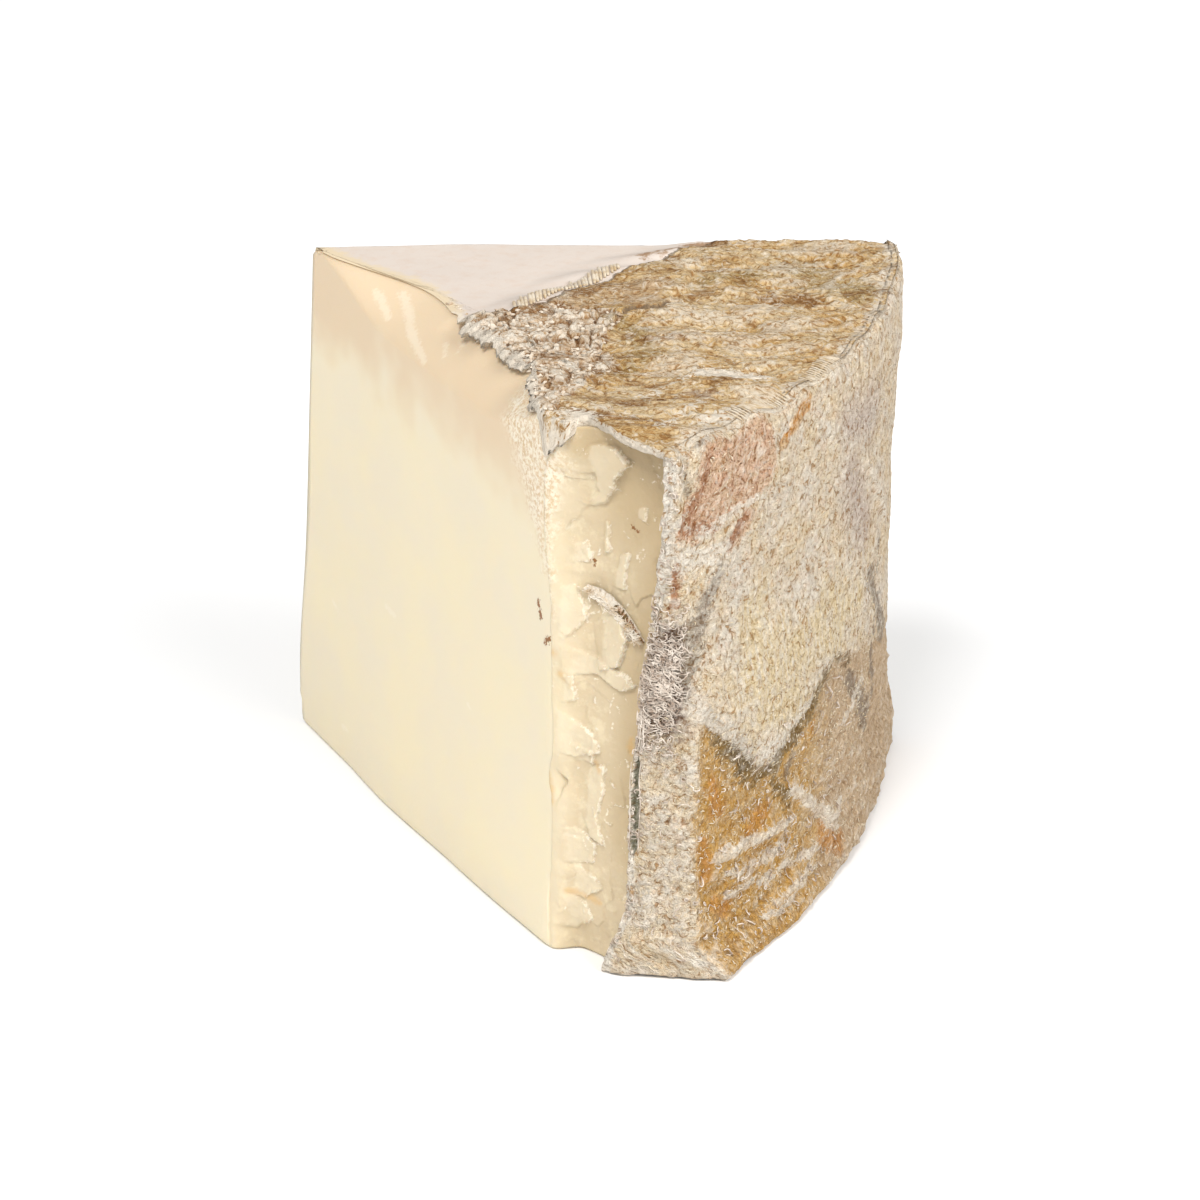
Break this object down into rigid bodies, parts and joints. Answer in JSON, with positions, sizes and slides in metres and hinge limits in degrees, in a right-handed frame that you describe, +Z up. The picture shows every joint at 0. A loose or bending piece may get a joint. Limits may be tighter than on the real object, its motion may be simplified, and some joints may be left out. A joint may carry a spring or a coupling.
{
  "type": "cheddar wedge",
  "caption": "hand-cut wedge of cloth-bound farmhouse cheddar, with a smooth cut face, a broken strip of paste, a crumpled top rind and a mottled, cloth-textured side rind",
  "frame": {"origin": "middle of the wedge's box, on the surface it stands on", "axes": "+Z up; +X from the pointed tip towards the curved rind; -Y side is the smooth cut face"},
  "size_m": [0.1438, 0.1349, 0.117],
  "materials": {
    "cheese_paste": "waxy, cream, slightly translucent cheddar paste",
    "side_rind": "dry, chalky cream and ochre rind with cloth weave",
    "top_rind": "dry, crumpled golden-brown and pale pink rind"
  },
  "bodies": {
    "root": {"cheddar_wedge": "cheese_paste"}
  },
  "joints": []
}
